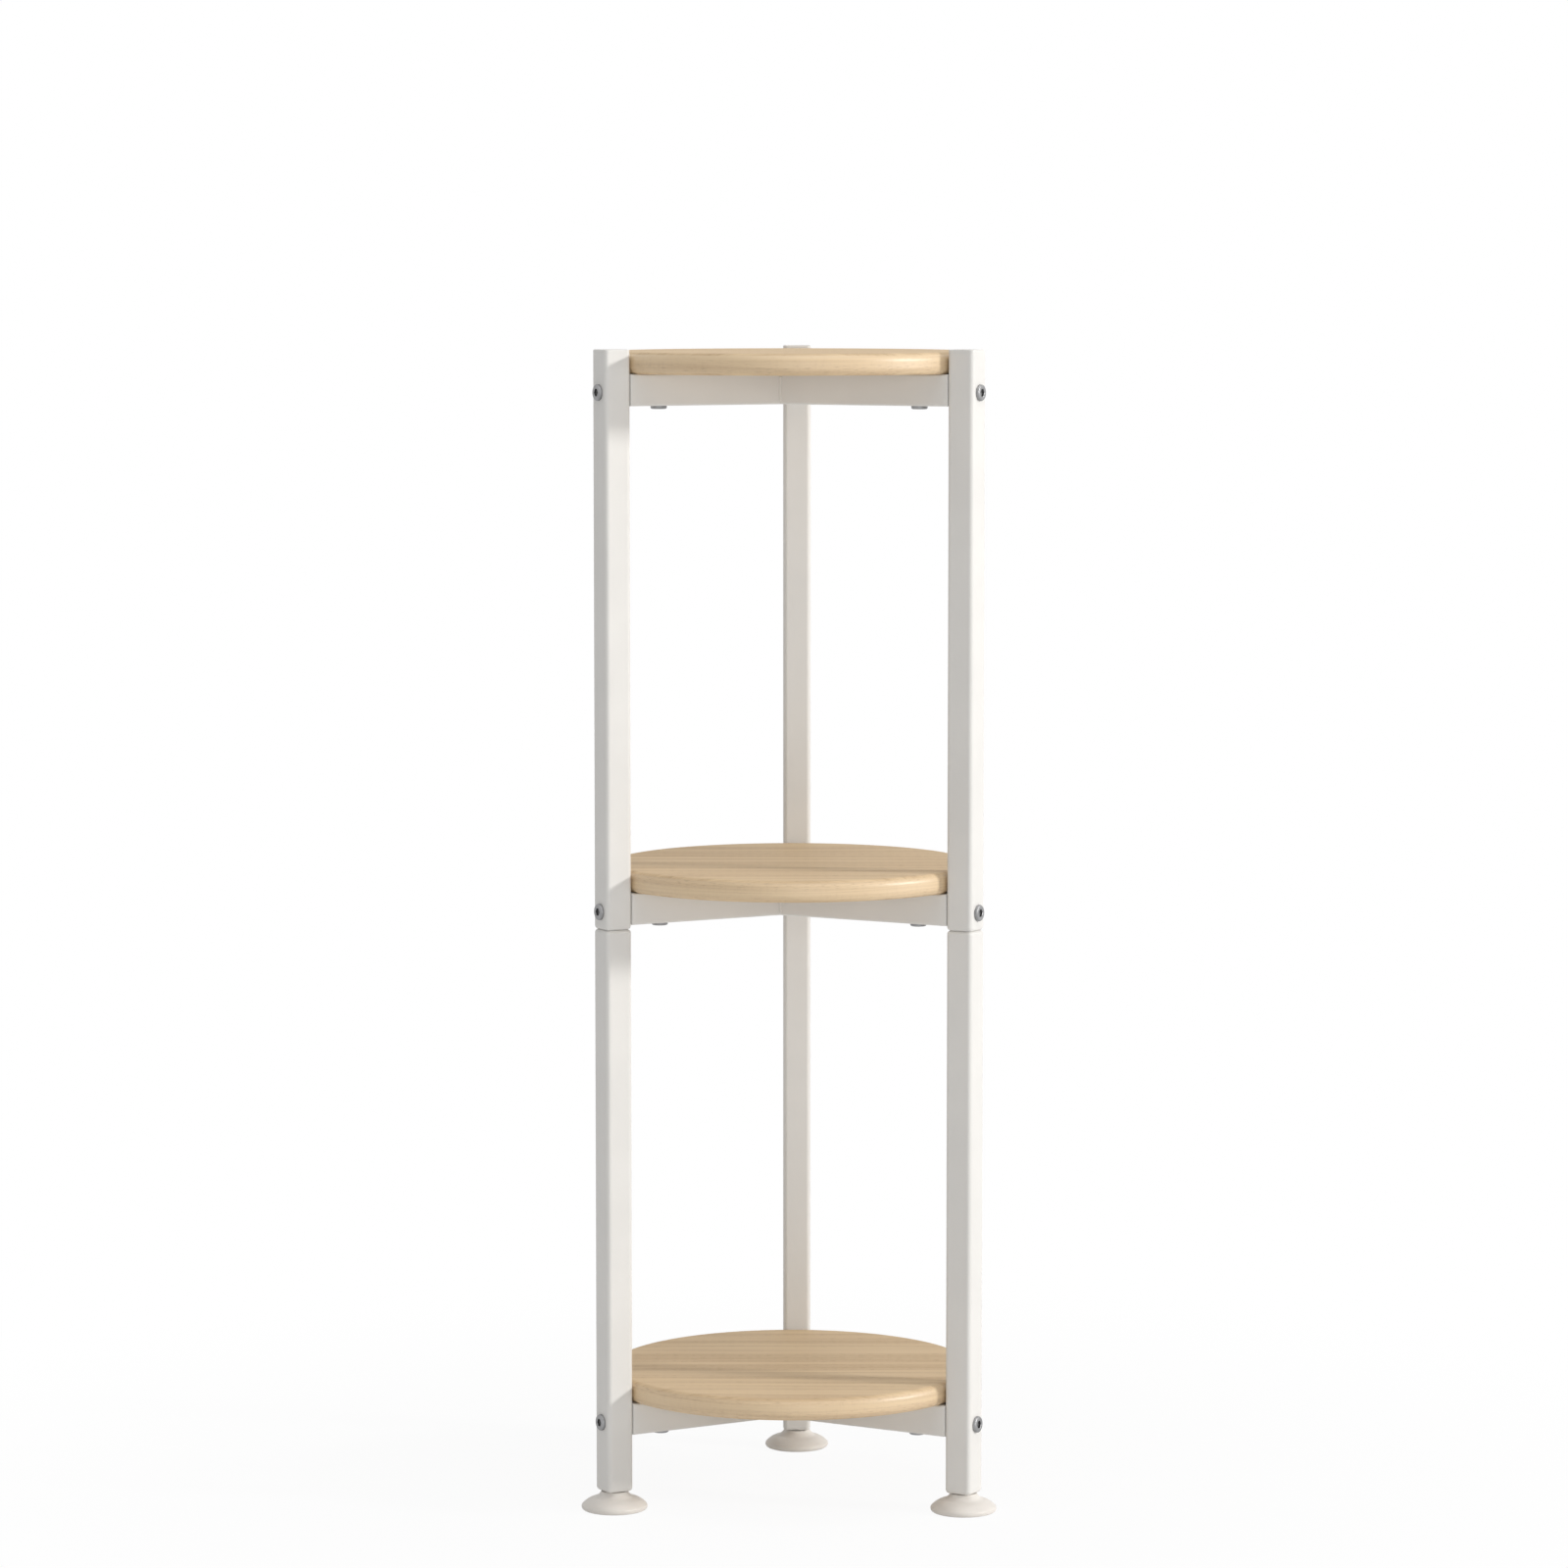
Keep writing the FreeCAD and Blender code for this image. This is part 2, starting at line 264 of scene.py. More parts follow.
def skin(bm, rings, matrix=Matrix(), inner=0):
    """Joins rings of equal count into a closed skin. If inner isn't 0, the first end and
    that many rows after it take material 1."""
    rows = [[bm.verts.new(matrix @ point) for point in points] for points in rings]
    count = len(rows[0])
    faces = [bm.faces.new(reversed(rows[0]))]
    for lower, upper in zip(rows, rows[1:]):
        for step in range(count):
            after = (step + 1) % count
            faces.append(bm.faces.new((lower[step], lower[after], upper[after], upper[step])))
    bm.faces.new(rows[-1])
    if inner:
        for face in faces[:1 + inner * count]:
            face.material_index = 1


def arc(centre, radius, start, end, steps):
    """Points (r, z) of an arc about centre (r, z), from one angle to another, in degrees."""
    turns = [math.radians(start + (end - start) * step / steps) for step in range(steps + 1)]
    return [(centre[0] + radius * math.cos(t), centre[1] + radius * math.sin(t)) for t in turns]


def threaded(low, high, major, depth, pitch, count, chamfer):
    """Rings of a right-hand screw thread along Z, run out at both ends."""
    rows_per_turn = 6
    flank_slope = 1.25  # over 1, it leaves a narrow flat on the crest of each turn
    rows = max(2, round((high - low) / pitch * rows_per_turn))
    rings = []
    for row in range(rows + 1):
        z = low + (high - low) * row / rows
        limit = major - max(0.0, chamfer - min(z - low, high - z))
        reaches = []
        for turn in turns(count):
            phase = (z / pitch - turn / math.tau) % 1.0
            rise = min(1.0, flank_slope * abs(2 * phase - 1))
            reaches.append(min(major - depth * (1 - rise), limit))
        rings.append(around(reaches, z))
    return rings


def piece(name, bm, materials, sharp=30.0):
    """A finished object of the mesh, smooth but for edges sharper than the given angle."""
    bmesh.ops.recalc_face_normals(bm, faces=bm.faces)
    mesh = bpy.data.meshes.new(name)
    bm.to_mesh(mesh)
    bm.free()
    mesh.shade_smooth()
    mesh.set_sharp_from_angle(angle=math.radians(sharp))
    for material in materials:
        mesh.materials.append(material)
    made = bpy.data.objects.new(name, mesh)
    bpy.context.scene.collection.objects.link(made)
    return made


def paint_node(node, material):
    """Gives a node of the frame its finish."""
    node_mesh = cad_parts[node].data
    node_mesh.materials.clear()
    node_mesh.materials.append(material)


# Sizes and colours that can be changed


class PaintSettings(PropertyGroup):
    colour: FloatVectorProperty(
        name="Colour", description="White of the powder coat", subtype="COLOR",
        default=(0.79, 0.775, 0.745), min=0.0, max=1.0,
    )
    roughness: FloatProperty(
        name="Roughness", description="Middle of the coat's roughness",
        default=0.42, min=0.0, max=1.0,
    )
    grain: FloatProperty(
        name="Grain", description="Width of the coat's fine bumps",
        default=0.9 * MM, unit="LENGTH",
    )
    relief: FloatProperty(
        name="Relief", description="Height of the coat's fine bumps",
        default=0.012 * MM, unit="LENGTH",
    )


class WoodSettings(PropertyGroup):
    light: FloatVectorProperty(
        name="Light", description="Early wood", subtype="COLOR",
        default=(0.765, 0.582, 0.365), min=0.0, max=1.0,
    )
    dark: FloatVectorProperty(
        name="Dark", description="Late wood", subtype="COLOR",
        default=(0.61, 0.437, 0.262), min=0.0, max=1.0,
    )
    pore: FloatVectorProperty(
        name="Pore", description="Open pores", subtype="COLOR",
        default=(0.40, 0.265, 0.155), min=0.0, max=1.0,
    )
    band: FloatProperty(
        name="Band", description="Mean width of a broad band across the grain",
        default=11 * MM, unit="LENGTH",
    )
    line: FloatProperty(
        name="Line", description="Mean distance of the fine lines across the grain",
        default=1.7 * MM, unit="LENGTH",
    )
    sway: FloatProperty(
        name="Sway", description="How far the grain strays sideways in long curves",
        default=16 * MM, unit="LENGTH",
    )
    waver: FloatProperty(
        name="Waver", description="How far the grain strays sideways in short waves",
        default=1.2 * MM, unit="LENGTH",
    )
    roughness: FloatProperty(
        name="Roughness", description="Roughness of the lacquer on the flat", default=0.66,
        min=0.0, max=1.0,
    )
    edge_roughness: FloatProperty(
        name="Edge Roughness", description="Roughness of the lacquer round the edge",
        default=0.5, min=0.0, max=1.0,
    )
    edge_coat: FloatProperty(
        name="Edge Coat", description="Weight of the clear gloss coat round the edge",
        default=0.95, min=0.0, max=1.0,
    )
    coat_roughness: FloatProperty(
        name="Coat Roughness", description="Roughness of that coat", default=0.4,
        min=0.0, max=1.0,
    )
    specular: FloatProperty(
        name="Specular", description="Strength of the lacquer's reflections",
        default=0.4, min=0.0, max=1.0,
    )
    relief: FloatProperty(
        name="Relief", description="Depth of the pores", default=0.04 * MM, unit="LENGTH",
    )


class SteelSettings(PropertyGroup):
    colour: FloatVectorProperty(
        name="Colour", description="Zinc-plated steel", subtype="COLOR",
        default=(0.33, 0.33, 0.335), min=0.0, max=1.0,
    )
    # Darker steel for the socket's faces: painted shade of the recess
    socket_shade_colour: FloatVectorProperty(
        name="Socket Shade Colour", description="Steel inside a bolt's socket", subtype="COLOR",
        default=(0.22, 0.22, 0.22), min=0.0, max=1.0,
    )
    roughness: FloatProperty(
        name="Roughness", description="Middle of the plating's roughness",
        default=0.5, min=0.0, max=1.0,
    )
    bolt: FloatProperty(
        name="Bolt", description="Diameter of a bolt's thread", default=6 * MM, unit="LENGTH",
    )
    bolt_pitch: FloatProperty(
        name="Bolt Pitch", description="Thread pitch of the bolts",
        default=1.0 * MM, unit="LENGTH",
    )
    stud_pitch: FloatProperty(
        name="Stud Pitch", description="Thread pitch of the feet",
        default=1.25 * MM, unit="LENGTH",
    )
    socket: FloatProperty(
        name="Socket", description="Bolt socket, across the flats", default=5 * MM, unit="LENGTH",
    )
    head_height: FloatProperty(
        name="Head Height", description="Height of a bolt's head",
        default=2.3 * MM, unit="LENGTH",
    )
    relief: FloatProperty(
        name="Relief", description="Depth of the tumbling marks",
        default=0.01 * MM, unit="LENGTH",
    )


class PlasticSettings(PropertyGroup):
    colour: FloatVectorProperty(
        name="Colour", description="White of the feet and caps", subtype="COLOR",
        default=(0.78, 0.74, 0.69), min=0.0, max=1.0,
    )
    roughness: FloatProperty(
        name="Roughness", description="Middle of the plastic's roughness",
        default=0.48, min=0.0, max=1.0,
    )
    relief: FloatProperty(
        name="Relief", description="Height of the mould's texture",
        default=0.008 * MM, unit="LENGTH",
    )


class WeldSettings(PropertyGroup):
    radius: FloatProperty(
        name="Radius", description="Radius of a weld bead", default=1.3 * MM, unit="LENGTH",
    )
    ripple: FloatProperty(
        name="Ripple", description="Distance between a bead's ripples",
        default=1.4 * MM, unit="LENGTH",
    )


class StageSettings(PropertyGroup):
    camera: FloatVectorProperty(
        name="Camera", description="Where the camera stands", subtype="TRANSLATION", unit="LENGTH",
        default=(-0.0034, -3.915, 0.8666),
    )
    pitch: FloatProperty(
        name="Pitch", description="How far the camera looks down", subtype="ANGLE",
        default=math.radians(5.318),
    )
    lens: FloatProperty(
        name="Lens", description="Focal length in millimetres", default=127.6, min=1.0,
    )
    key_direction: FloatVectorProperty(
        name="Key Direction", description="Turn and rise of the way to the key light", size=2,
        default=(math.radians(-15.0), math.radians(17.0)), unit="ROTATION",
    )
    key_size: FloatVectorProperty(
        name="Key Size", description="Width and height of the key light", size=2,
        default=(0.7, 0.5), unit="LENGTH",
    )
    key_power: FloatProperty(
        name="Key Power", description="Power of the key light in watts",
        default=194.0, min=0.0,
    )
    key_colour: FloatVectorProperty(
        name="Key Colour", description="Colour of the key light", subtype="COLOR",
        default=(1.0, 0.985, 0.965), min=0.0, max=1.0,
    )
    front_direction: FloatVectorProperty(
        name="Front Direction", description="Turn and rise of the way to the front light", size=2,
        default=(math.radians(-80.0), math.radians(7.0)), unit="ROTATION",
    )
    front_size: FloatVectorProperty(
        name="Front Size", description="Width and height of the front light", size=2,
        default=(2.0, 1.4), unit="LENGTH",
    )
    front_power: FloatProperty(
        name="Front Power", description="Power of the front light in watts",
        default=33.0, min=0.0,
    )
    front_colour: FloatVectorProperty(
        name="Front Colour", description="Colour of the front light", subtype="COLOR",
        default=(1.0, 1.0, 1.0), min=0.0, max=1.0,
    )
    top_direction: FloatVectorProperty(
        name="Top Direction", description="Turn and rise of the way to the light overhead", size=2,
        default=(math.radians(-60.0), math.radians(75.0)), unit="ROTATION",
    )
    top_size: FloatVectorProperty(
        name="Top Size", description="Width and height of the light overhead", size=2,
        default=(4.0, 4.0), unit="LENGTH",
    )
    top_power: FloatProperty(
        name="Top Power", description="Power of the light overhead in watts",
        default=101.0, min=0.0,
    )
    top_colour: FloatVectorProperty(
        name="Top Colour", description="Colour of the light overhead", subtype="COLOR",
        default=(1.0, 1.0, 1.0), min=0.0, max=1.0,
    )
    lamp_distance: FloatProperty(
        name="Lamp Distance", description="From the lamps to the stand's middle",
        default=6.0, unit="LENGTH",
    )
    fill: FloatProperty(
        name="Fill", description="Strength of the light from all round", default=0.41, min=0.0,
    )
    fill_colour: FloatVectorProperty(
        name="Fill Colour", description="Colour of the light from all round", subtype="COLOR",
        default=(1.0, 1.0, 1.0), min=0.0, max=1.0,
    )
    floor: FloatVectorProperty(
        name="Floor", description="Colour of the floor", subtype="COLOR",
        default=(0.85, 0.85, 0.85), min=0.0, max=1.0,
    )
    whiteness: FloatProperty(
        name="Whiteness", description="Share of plain white in the floor as seen, by the stand",
        default=0.93, min=0.0, max=1.0, subtype="FACTOR",
    )
    white_from: FloatProperty(
        name="White From", description="Distance at which the floor is seen as plain white",
        default=0.85, unit="LENGTH",
    )


def settings(name):
    return getattr(bpy.context.scene, SETTINGS_PREFIX + name)


# Finishes


def powder_coat():
    """White powder coat: satin, with the fine orange-peel bumps of a sprayed coat."""
    paint = settings("paint")
    finish = Finish("powder_coat")
    place = finish.place()
    peel = finish.noise(place, scale=1 / paint.grain, detail=3)
    cloud = finish.noise(place, scale=22.0, detail=2)
    shade = darker(paint.colour, share=0.965)
    finish.set(
        base_color=finish.blend(cloud.ramp(0.3, 0.7), rgba(shade), rgba(paint.colour)),
        roughness=paint.roughness + cloud.swing(0.10) + peel.swing(0.08),
    )
    finish.bump(peel, paint.relief)
    return finish.material


def plated_steel(name, colour):
    """Zinc-plated steel with faint tumbling marks."""
    steel = settings("steel")
    finish = Finish(name)
    place = finish.place()
    marks = finish.noise(place, scale=900.0, detail=4, roughness=0.7)
    cloud = finish.noise(place, scale=160.0, detail=2)
    shade = darker(colour, share=0.86)
    finish.set(
        base_color=finish.blend(cloud.ramp(0.35, 0.65), rgba(shade), rgba(colour)),
        metallic=1.0,
        roughness=steel.roughness + marks.swing(0.25),
    )
    finish.bump(marks, steel.relief)
    return finish.material


def bare_steel():
    return plated_steel("zinc_plated_steel", settings("steel").colour)


def socket_steel():
    """The same steel, darker, for the depth of a socket: painted shade of the recess."""
    return plated_steel("socket_steel", settings("steel").socket_shade_colour)


def moulded_plastic():
    """Warm white plastic with the fine matte texture of its mould."""
    plastic = settings("plastic")
    finish = Finish("white_plastic")
    place = finish.place()
    texture = finish.noise(place, scale=2600.0, detail=2)
    cloud = finish.noise(place, scale=60.0, detail=2)
    shade = darker(plastic.colour, share=0.95)
    finish.set(
        base_color=finish.blend(cloud.ramp(0.3, 0.7), rgba(shade), rgba(plastic.colour)),
        roughness=plastic.roughness + cloud.swing(0.12),
    )
    finish.bump(texture, plastic.relief)
    return finish.material


def oak_grain(finish, along, across):
    """Tone, from 0 for light to 1 for dark, and open pores of straight grain on a flat."""
    wood = settings("wood")

    def streaks(along_scale, across_scale, detail, roughness=0.5):
        stretched = {0: along * along_scale, 1: across * across_scale}
        place = finish.node("CombineXYZ", inputs=stretched)
        inputs = {"Vector": place, "Scale": 1.0, "Detail": detail, "Roughness": roughness}
        return finish.node("TexNoise", {"noise_dimensions": "2D"}, inputs)

    curves = streaks(along_scale=2.6, across_scale=6.0, detail=1)
    waves = streaks(along_scale=14.0, across_scale=60.0, detail=1)
    across = across + curves.swing(wood.sway) + waves.swing(wood.waver)
    bands = streaks(along_scale=1.6, across_scale=1 / wood.band, detail=3, roughness=0.55)
    lines = streaks(along_scale=5.0, across_scale=1 / wood.line, detail=2, roughness=0.6)
    fibre = streaks(along_scale=34.0, across_scale=2400.0, detail=1)
    pores = streaks(along_scale=150.0, across_scale=2100.0, detail=1).ramp(0.60, 0.74)
    band_share, line_share, fibre_share = 0.45, 0.30, 0.15
    tone = (
        band_share * bands.ramp(0.28, 0.72)
        + line_share * lines.ramp(0.34, 0.68)
        + fibre_share * fibre
    )
    return tone, pores * bands.ramp(0.30, 0.60)


def lacquered_oak(board, seed):
    """Light oak under clear satin lacquer: its grain runs along X, and round the edge."""
    wood = settings("wood")
    finish = Finish("oak_" + board)
    low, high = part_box(board)
    place = finish.place(offset=-middle(board))
    x, y, z = (finish.node("SeparateXYZ", inputs={0: place}, output=axis) for axis in "XYZ")
    turn = finish.node("Math", {"operation": "ARCTAN2"}, {0: x, 1: 0 - y})
    radius = (high.x - low.x) / 2
    # The seed moves each board to another place in the noise
    face_tone, face_pores = oak_grain(finish, x + 0.9 * seed, y + 0.31 * seed)
    edge_tone, edge_pores = oak_grain(finish, turn * radius, z - 0.37 * seed)
    normal = finish.node("NewGeometry", output="Normal")
    upright = finish.node("SeparateXYZ", inputs={0: normal}, output="Z")
    # Upward part of the normal where the round edge ends and where the flat begins
    edge_until, flat_from = 0.62, 0.82
    edge = 1 - abs(upright).ramp(edge_until, flat_from)
    upright_flecks = finish.place(scale=(520.0, 520.0, 120.0))
    rays = finish.noise(upright_flecks, detail=2).ramp(0.50, 0.72)
    cloud = finish.noise(place, scale=9.0, detail=2)
    ray_share = 0.10
    tone = between(face_tone, edge_tone, edge) + ray_share * edge * rays + cloud.swing(0.4)
    pores = between(face_pores, edge_pores, edge)
    gloss = between(wood.roughness, wood.edge_roughness, edge)
    colour = finish.blend(tone.ramp(0.0, 1.0), rgba(wood.light), rgba(wood.dark))
    pore_darkness, pore_dullness = 0.5, 0.10
    finish.set(
        base_color=finish.blend(pore_darkness * pores, colour, rgba(wood.pore)),
        roughness=gloss + tone.swing(0.10) + pore_dullness * pores,
        coat_weight=edge * wood.edge_coat,
        coat_roughness=wood.coat_roughness,
        specular_ior_level=wood.specular,
    )
    pore_depth, grain_depth = 0.8, 0.2  # shares of the relief
    finish.bump(1 - pore_depth * pores - grain_depth * tone, wood.relief)
    return finish.material


FINISHES = {}


def finish_of(name, make):
    """The named finish, made when a piece first needs it."""
    if name not in FINISHES:
        FINISHES[name] = make()
    return FINISHES[name]


# Pieces


class PLANTSTAND_OT_posts(Operator):
    """Coat the posts and their caps, and plate the sleeves inside them"""

    bl_idname = "plantstand.posts"
    bl_label = "Posts"

    def execute(self, context):
        coat = finish_of("coat", powder_coat)
        plastic = finish_of("plastic", moulded_plastic)
        steel = finish_of("steel", bare_steel)
        for leg in LEG_TURNS:
            paint_node(leg + "_upper_post", coat)
            paint_node(leg + "_lower_post", coat)
            paint_node(leg + "_top_cap", plastic)
            paint_node(leg + "_post_sleeve", steel)
        return {"FINISHED"}


class PLANTSTAND_OT_arms(Operator):
    """Coat the arms and their end plates, and weld the arms where they meet"""

    bl_idname = "plantstand.arms"
    bl_label = "Arms"

    def bead(self, bm, start, end, matrix):
        """A short rippled weld bead round the line from start to end."""
        weld = settings("weld")
        sides = 12
        rows_per_ripple = 4
        mean_share, ripple_share = 0.90, 0.10  # of the bead's radius
        blunt_end = 0.15  # 0 would draw the bead's ends to a point
        length = (end - start).length
        rows = max(rows_per_ripple, round(length / weld.ripple * rows_per_ripple))
        rings = []
        for row in range(rows + 1):
            along = length * row / rows
            swell = mean_share + ripple_share * math.cos(math.tau * along / weld.ripple)
            nearest_end = min(along, length - along)
            taper = math.sqrt(min(1.0, nearest_end / weld.radius + blunt_end))
            rings.append(ring(weld.radius * swell * taper, along, sides))
        lie = (end - start).to_track_quat("Z", "Y").to_matrix().to_4x4()
        skin(bm, rings, matrix @ Matrix.Translation(start) @ lie)

    def execute(self, context):
        coat = finish_of("coat", powder_coat)
        weld = settings("weld")
        for tier in TIERS:
            for leg in LEG_TURNS:
                paint_node(f"{tier}_{leg}_arm", coat)
            paint_node(tier + "_arm_end_plates", coat)
            low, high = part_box(tier + "_rear_arm")
            inset = 1.5 * weld.radius
            foot = Vector((high.x, low.y, low.z + inset))
            head = Vector((high.x, low.y, high.z - inset))
            bm = bmesh.new()
            for turn in LEG_TURNS.values():
                self.bead(bm, foot, head, turn_from_rear(turn))
            made = piece(tier + "_hub_welds", bm, [coat], sharp=60.0)
            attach(made, "stand")
        return {"FINISHED"}


class PLANTSTAND_OT_boards(Operator):
    """Give each board its own oak grain"""

    bl_idname = "plantstand.boards"
    bl_label = "Boards"

    def execute(self, context):
        for seed, tier in enumerate(TIERS, start=1):
            board = tier + "_board"
            paint_node(board, lacquered_oak(board, seed))
        return {"FINISHED"}


class PLANTSTAND_OT_bolts(Operator):
    """Build the bolts with turned heads, hexagon sockets and threads"""

    bl_idname = "plantstand.bolts"
    bl_label = "Bolts"

    def add_bolt(self, bm, matrix, head, length):
        """A bolt along Z: its head starts at z = 0 and its shank points up."""
        steel = settings("steel")
        count = 36
        seat = steel.head_height
        round_over = 0.5 * seat
        seat_edge = 0.1 * MM
        face_edge = 0.3 * MM
        apothem = steel.socket / 2
        floor = 0.85 * seat
        floor_corner = 0.15 * MM
        drill_tip = 0.05 * MM
        drill_depth = 0.5 * MM
        mouth_depth = 0.25 * MM
        mouth_width = 0.3 * MM
        lip_depth = 0.03 * MM
        lip_width = 0.75 * MM
        socket = [
            ring(drill_tip, floor + drill_depth, count),
            hexagon(apothem - floor_corner, floor, count),
            hexagon(apothem, floor - floor_corner, count),
            hexagon(apothem, mouth_depth, count),
        ]
        corner = arc((head - round_over, round_over), round_over, start=-90, end=0, steps=8)
        rim = [
            hexagon(apothem + mouth_width, lip_depth, count),
            ring(apothem + lip_width, 0.0, count),
            ring(head - round_over - face_edge, 0.0, count),
            *(ring(radius, height, count) for radius, height in corner),
            ring(head, seat - seat_edge, count),
            ring(head - seat_edge, seat, count),
        ]
        shank = threaded(
            seat, length, major=steel.bolt / 2, depth=0.5 * MM,
            pitch=steel.bolt_pitch, count=count, chamfer=0.5 * MM,
        )
        # The socket's faces take material 1, the darker steel: painted shade of the recess
        skin(bm, socket + rim + shank, matrix, inner=len(socket) - 1)

    def ring_of_bolts(self, name, node, matrix, head, length):
        """One piece for a node's three bolts, from the matrix of the rear one."""
        bm = bmesh.new()
        for turn in LEG_TURNS.values():
            self.add_bolt(bm, turn_from_rear(turn) @ matrix, head, length)
        # The second finish is the darker steel of the sockets: painted shade
        steels = [finish_of("steel", bare_steel), finish_of("socket", socket_steel)]
        made = piece(name, bm, steels)
        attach(made, "stand")
        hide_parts(node)

    def execute(self, context):
        steel = finish_of("steel", bare_steel)
        lay_down = Matrix.Rotation(math.radians(90), 4, "X")
        for tier in TIERS:
            node = tier + "_post_bolts"
            low, high = rear_part(node)
            centre = (low + high) / 2
            inwards = Matrix.Translation((centre.x, high.y, centre.z)) @ lay_down
            head = (high.x - low.x) / 2
            self.ring_of_bolts(tier + "_socket_bolts", node, inwards, head, high.y - low.y)

            node = tier + "_board_bolts"
            low, high = rear_part(node)
            centre = (low + high) / 2
            upwards = Matrix.Translation((centre.x, centre.y, low.z))
            head = (high.x - low.x) / 2
            self.ring_of_bolts(tier + "_under_bolts", node, upwards, head, high.z - low.z)

            paint_node(tier + "_arm_nuts", steel)
            paint_node(tier + "_board_inserts", steel)
        return {"FINISHED"}


class PLANTSTAND_OT_feet(Operator):
    """Thread the studs and finish the pads and the inserts"""

    bl_idname = "plantstand.feet"
    bl_label = "Feet"

    def execute(self, context):
        pitch = settings("steel").stud_pitch
        steel = finish_of("steel", bare_steel)
        plastic = finish_of("plastic", moulded_plastic)
        for leg in LEG_TURNS:
            node = leg + "_foot_stud"
            low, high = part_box(node)
            centre = (low + high) / 2
            rings = threaded(
                low.z, high.z, major=(high.x - low.x) / 2, depth=0.65 * MM,
                pitch=pitch, count=32, chamfer=0.8 * MM,
            )
            bm = bmesh.new()
            skin(bm, rings, Matrix.Translation((centre.x, centre.y, 0)))
            made = piece(leg + "_threaded_stud", bm, [steel], sharp=40.0)
            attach(made, leg + "_stud")
            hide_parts(node)
            paint_node(leg + "_foot_pad", plastic)
            paint_node(leg + "_foot_insert", plastic)
        return {"FINISHED"}


# Stage


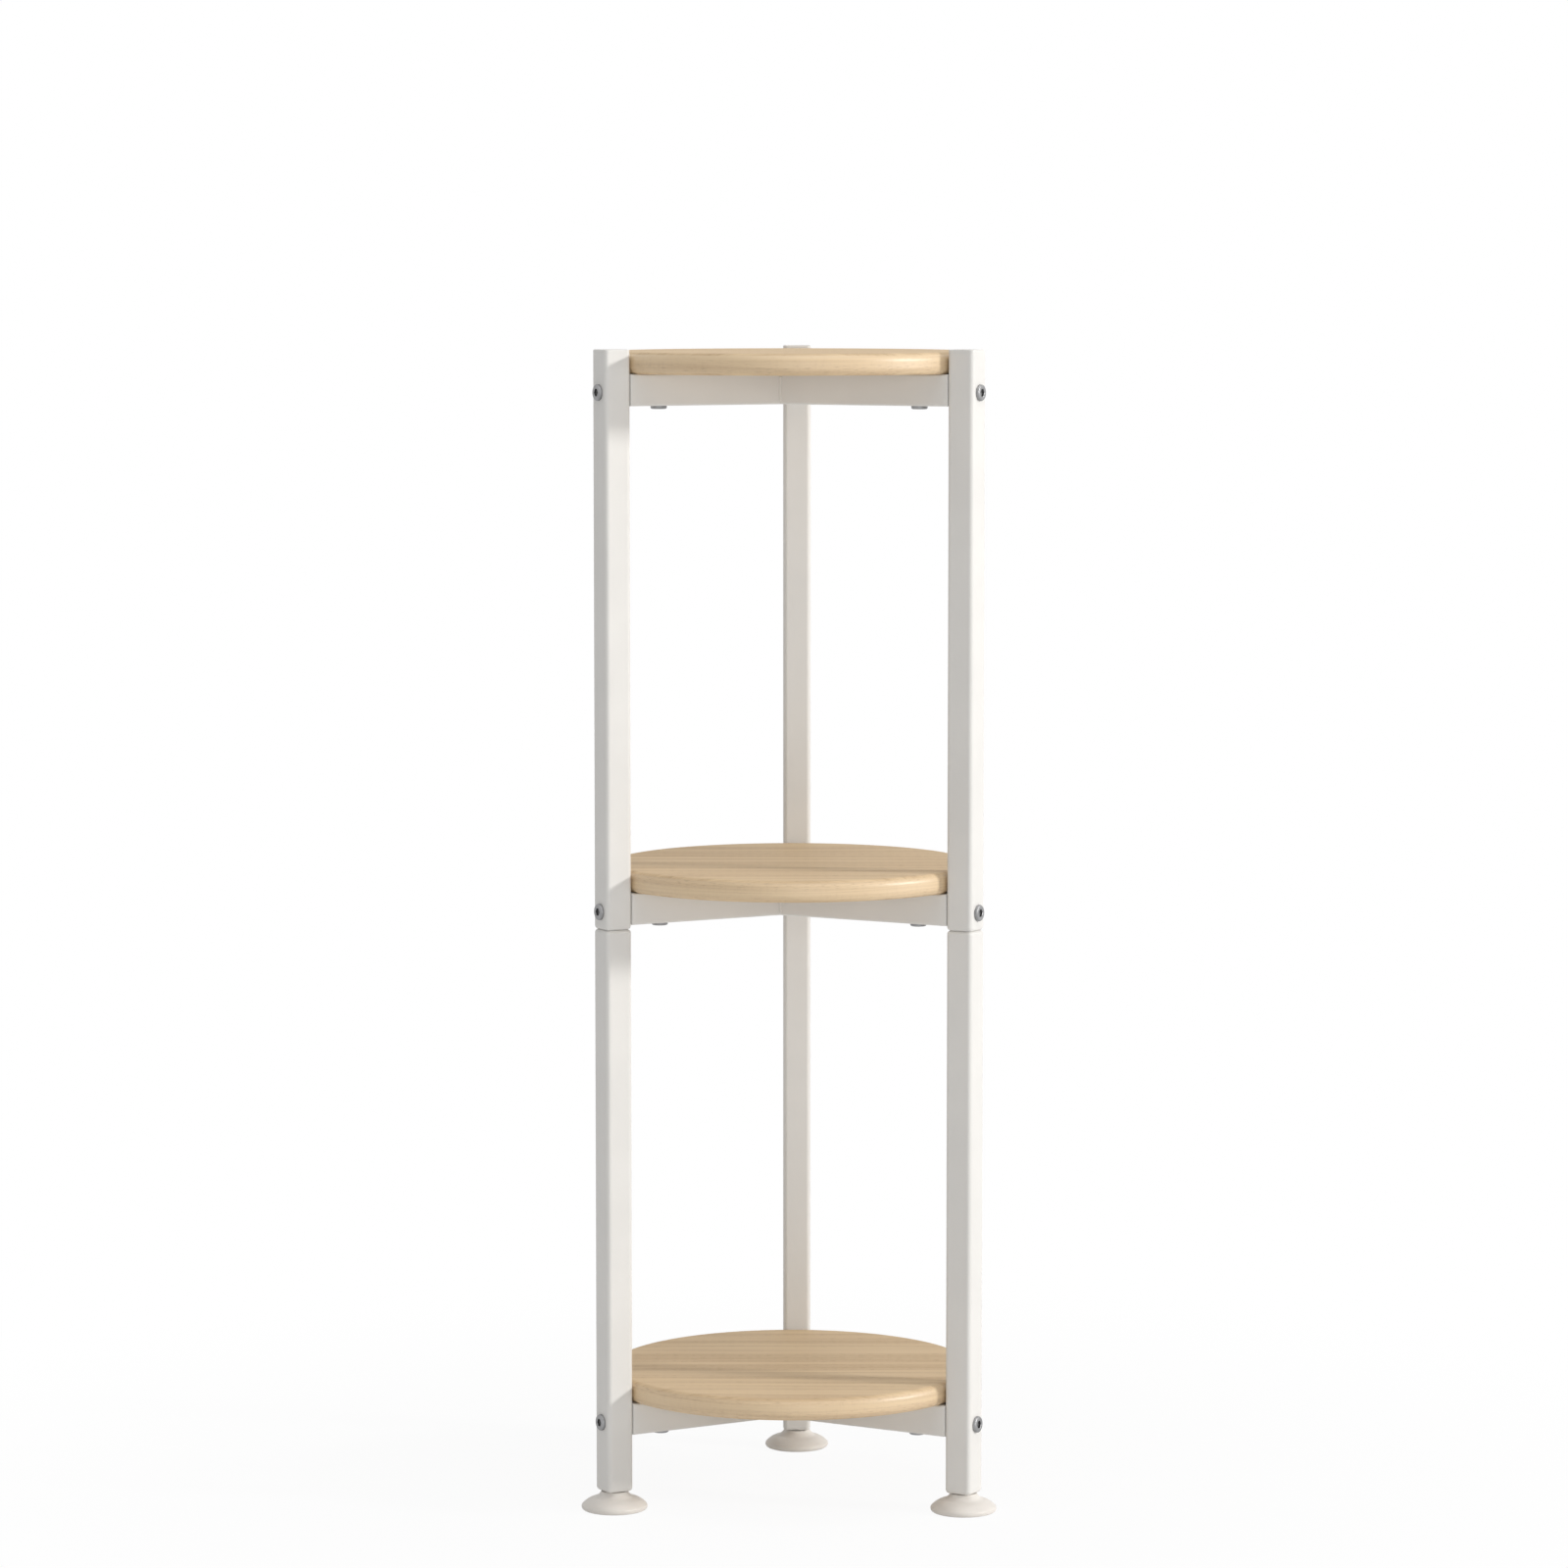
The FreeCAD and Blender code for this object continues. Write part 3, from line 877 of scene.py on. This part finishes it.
class PLANTSTAND_OT_stage(Operator):
    """Set the floor, the light and the camera"""

    bl_idname = "plantstand.stage"
    bl_label = "Stage"

    def lay_floor(self, stage):
        """A wide pale floor that the camera sees as white, with the stand's faint shadow."""
        radius, sides = 40.0, 64
        underside, top = -0.5 * MM, -0.1 * MM  # just clear of the feet
        bm = bmesh.new()
        skin(bm, [ring(radius, underside, sides), ring(radius, top, sides)])
        mesh = bpy.data.meshes.new("floor")
        bm.to_mesh(mesh)
        bm.free()
        floor = bpy.data.objects.new("floor", mesh)
        bpy.context.scene.collection.objects.link(floor)
        finish = Finish("floor")
        finish.set(base_color=rgba(stage.floor), roughness=0.9)
        white = finish.node("Emission", inputs={"Color": rgba((1, 1, 1)), "Strength": 1.0})
        away = finish.node("VectorMath", {"operation": "LENGTH"}, {0: finish.place()}, "Value")
        fade_from = 0.2
        share = between(stage.whiteness, 1.0, away.ramp(fade_from, stage.white_from))
        amount = share * finish.plain_where_seen()
        matte = Signal(finish, finish.shader.outputs[0])
        mixed = finish.node("MixShader", inputs={0: amount, 1: matte, 2: white})
        finish.feed(finish.tree.nodes["Material Output"].inputs["Surface"], mixed)
        mesh.materials.append(finish.material)

    def light_all_round(self, stage):
        world = bpy.data.worlds.new("studio")
        world.use_nodes = True
        bpy.context.scene.world = world
        nodes = Nodes(world.node_tree)
        colour = rgba(stage.fill_colour)
        fill = nodes.node("Background", inputs={"Color": colour, "Strength": stage.fill})
        white = nodes.node("Background", inputs={"Color": rgba((1, 1, 1)), "Strength": 1.0})
        mixed = nodes.node("MixShader", inputs={0: nodes.plain_where_seen(), 1: fill, 2: white})
        nodes.feed(nodes.tree.nodes["World Output"].inputs["Surface"], mixed)

    def hang_lamp(self, stage, name):
        """A soft lamp that points at the middle of the stand."""
        low, high = CAD_BOX
        turn, rise = getattr(stage, name + "_direction")
        flat = stage.lamp_distance * math.cos(rise)
        height = stage.lamp_distance * math.sin(rise)
        offset = Vector((flat * math.cos(turn), flat * math.sin(turn), height))
        lamp = bpy.data.lights.new(name, "AREA")
        lamp.shape = "RECTANGLE"
        lamp.size, lamp.size_y = getattr(stage, name + "_size")
        lamp.energy = getattr(stage, name + "_power")
        lamp.color = getattr(stage, name + "_colour")
        hung = bpy.data.objects.new(name, lamp)
        hung.location = (Vector(low) + Vector(high)) / 2 + offset
        hung.rotation_euler = offset.to_track_quat("Z", "Y").to_euler()
        bpy.context.scene.collection.objects.link(hung)

    def set_camera(self, stage):
        data = bpy.data.cameras.new("camera")
        data.lens = stage.lens
        data.sensor_width = 36.0
        data.clip_end = 100.0
        camera = bpy.data.objects.new("camera", data)
        camera.location = stage.camera
        camera.rotation_euler = (math.radians(90) - stage.pitch, 0.0, 0.0)
        bpy.context.scene.collection.objects.link(camera)
        bpy.context.scene.camera = camera

    def execute(self, context):
        stage = settings("stage")
        context.scene.view_settings.view_transform = "Standard"
        self.lay_floor(stage)
        self.light_all_round(stage)
        for name in ("key", "front", "top"):
            self.hang_lamp(stage, name)
        self.set_camera(stage)
        return {"FINISHED"}


class PLANTSTAND_PT_panel(Panel):
    """Lists the steps that finish the plant stand"""

    bl_label = "Plant Stand"
    bl_idname = "PLANTSTAND_PT_panel"
    bl_space_type = "VIEW_3D"
    bl_region_type = "UI"
    bl_category = "Plant Stand"

    def draw(self, context):
        for operator in OPERATORS:
            self.layout.operator(operator.bl_idname)
        for name, group in SETTINGS.items():
            box = self.layout.box()
            box.label(text=name.title())
            for field in group.__annotations__:
                box.prop(settings(name), field)


SETTINGS = {
    "paint": PaintSettings,
    "wood": WoodSettings,
    "steel": SteelSettings,
    "plastic": PlasticSettings,
    "weld": WeldSettings,
    "stage": StageSettings,
}
OPERATORS = (
    PLANTSTAND_OT_posts,
    PLANTSTAND_OT_arms,
    PLANTSTAND_OT_boards,
    PLANTSTAND_OT_bolts,
    PLANTSTAND_OT_feet,
    PLANTSTAND_OT_stage,
)


def register():
    for made in (*SETTINGS.values(), *OPERATORS, PLANTSTAND_PT_panel):
        bpy.utils.register_class(made)
    for name, group in SETTINGS.items():
        setattr(bpy.types.Scene, SETTINGS_PREFIX + name, PointerProperty(type=group))


def unregister():
    for name in SETTINGS:
        delattr(bpy.types.Scene, SETTINGS_PREFIX + name)
    for made in reversed((*SETTINGS.values(), *OPERATORS, PLANTSTAND_PT_panel)):
        bpy.utils.unregister_class(made)


def main():
    register()
    for operator in OPERATORS:
        group, name = operator.bl_idname.split(".")
        getattr(getattr(bpy.ops, group), name)()


if __name__ == "__main__":
    main()
